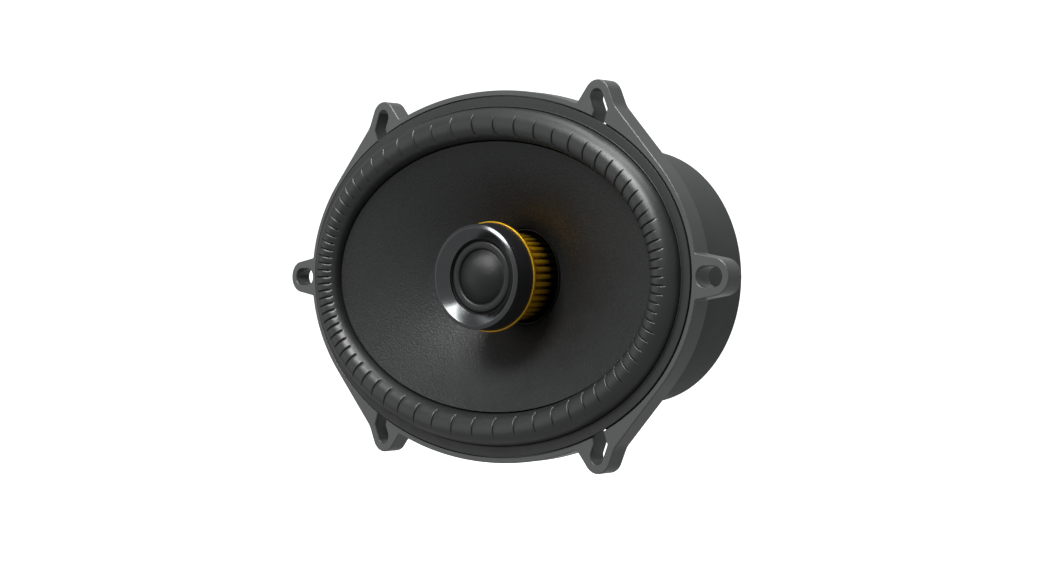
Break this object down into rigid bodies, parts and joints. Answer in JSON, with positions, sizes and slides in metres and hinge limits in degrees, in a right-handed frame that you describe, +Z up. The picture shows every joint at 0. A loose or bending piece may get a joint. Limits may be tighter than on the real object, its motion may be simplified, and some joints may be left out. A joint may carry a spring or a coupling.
{
  "type": "coaxial car loudspeaker",
  "caption": "Oval two-way coaxial car speaker: slotted flange, oval cone with half-roll surround, finned post carrying an aimed dome tweeter, and a round covered magnet.",
  "frame": {"origin": "Centre of the mounting plane, the rear face of the flange.", "axes": "+X along the speaker's length, +Y backwards along its axis, +Z up. It fires towards -Y."},
  "size_m": [0.2292, 0.0994, 0.1376],
  "materials": {
    "basket_metal": "satin dark grey powder coat",
    "trim_plastic": "satin dark grey plastic",
    "surround_rubber": "moulded butyl rubber, low sheen",
    "cone_poly": "mica-filled polypropylene, fine grain",
    "spider_cloth": "resin-dipped woven cloth",
    "plated_steel": "zinc plated, clear passivated",
    "ferrite": "ground ferrite",
    "copper": "bare copper",
    "cover_plastic": "satin dark grey moulding",
    "gold_anodised": "gold anodised, machined",
    "housing_plastic": "satin black moulding",
    "bezel_metal": "gunmetal satin, turned",
    "tweeter_rubber": "black, soft",
    "dome_cloth": "coated silk dome",
    "neodymium": "nickel plated",
    "board_plastic": "phenolic board",
    "terminal_tin": "tin plated",
    "tinsel": "braided copper tinsel over cotton",
    "capacitor_film": "wrapped film",
    "wire_red": "insulation",
    "wire_black": "insulation",
    "kapton": "polyimide film",
    "coil_wire": "enamelled copper wire"
  },
  "bodies": {
    "frame_and_motor": {"basket": "basket_metal", "gasket_ring": "trim_plastic", "surround": "surround_rubber", "spider": "spider_cloth", "front_plate": "plated_steel", "magnet": "ferrite", "yoke": "plated_steel", "shorting_ring": "copper", "magnet_cover": "cover_plastic", "post": "gold_anodised", "post_nut": "plated_steel", "tweeter_housing": "housing_plastic", "trim_ring": "gold_anodised", "tweeter_bezel": "bezel_metal", "tweeter_clamp_ring": "housing_plastic", "tweeter_surround": "tweeter_rubber", "tweeter_pole_plate": "plated_steel", "tweeter_magnet": "neodymium", "tweeter_cup": "plated_steel", "plate_screws": "plated_steel", "terminal_board": "board_plastic", "terminal_positive": "terminal_tin", "terminal_negative": "terminal_tin", "terminal_rivets": "terminal_tin", "tinsel_positive": "tinsel", "tinsel_negative": "tinsel", "capacitor": "capacitor_film", "capacitor_clip": "board_plastic", "tweeter_lead_positive": "wire_red", "tweeter_lead_negative": "wire_black", "lead_grommet": "tweeter_rubber"},
    "cone_assembly": {"cone": "cone_poly", "neck_collar": "tweeter_rubber", "former": "kapton", "voice_coil": "coil_wire", "lead_eyelets": "terminal_tin"},
    "tweeter_diaphragm": {"tweeter_dome": "dome_cloth", "tweeter_former": "kapton", "tweeter_coil": "coil_wire"}
  },
  "joints": [
    {"name": "cone_travel", "type": "slide", "parent": "frame_and_motor", "child": "cone_assembly", "axis": [0, 1, 0], "range_m": [-0.005, 0.005], "stiffness_N_per_m": 2500, "deforming": ["surround", "spider", "tinsel_positive", "tinsel_negative"]},
    {"name": "tweeter_dome_travel", "type": "slide", "parent": "frame_and_motor", "child": "tweeter_diaphragm", "axis": [-0.1478, 0.989, 0], "range_m": [-0.0004, 0.0004], "stiffness_N_per_m": 8000, "deforming": ["tweeter_surround"]}
  ]
}
